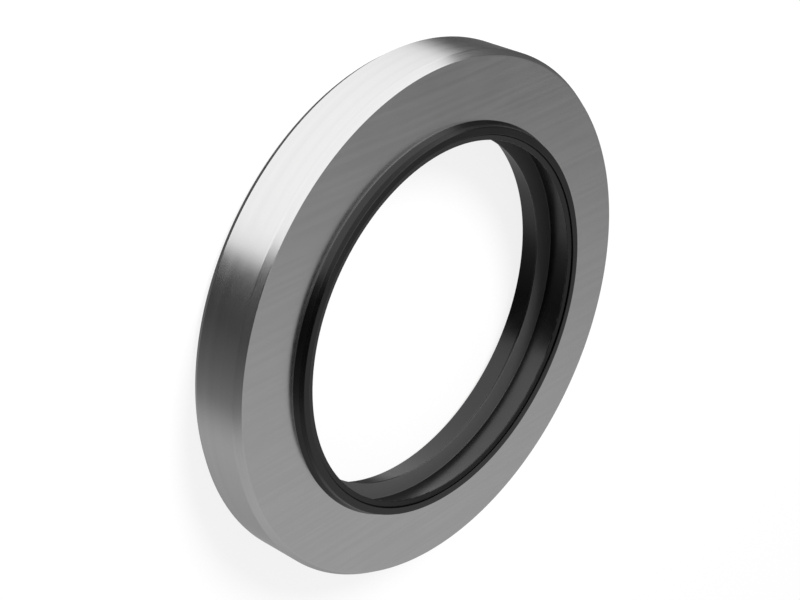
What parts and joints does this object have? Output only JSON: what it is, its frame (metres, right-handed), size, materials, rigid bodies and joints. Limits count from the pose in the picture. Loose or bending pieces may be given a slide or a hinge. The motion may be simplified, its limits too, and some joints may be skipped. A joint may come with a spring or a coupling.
{
  "type": "lip seal",
  "caption": "Radial shaft seal: a steel case pressed into a housing holds a rubber ring whose spring-loaded lip runs on the shaft and keeps oil in.",
  "frame": {"origin": "centre of the case's back rim, which is the lowest point at rest", "axes": "+Z along the seal's axis, from the back rim to the flat front; X and Y are any two directions across it"},
  "size_m": [0.072, 0.072, 0.0095],
  "materials": {
    "case_steel": "bright cold-rolled sheet, turned outside, satin face",
    "black_rubber": "moulded nitrile rubber, semi-matt",
    "spring_wire": "drawn spring wire"
  },
  "bodies": {
    "root": {"metal_case": "case_steel", "sealing_element": "black_rubber", "garter_spring": "spring_wire"}
  },
  "joints": []
}
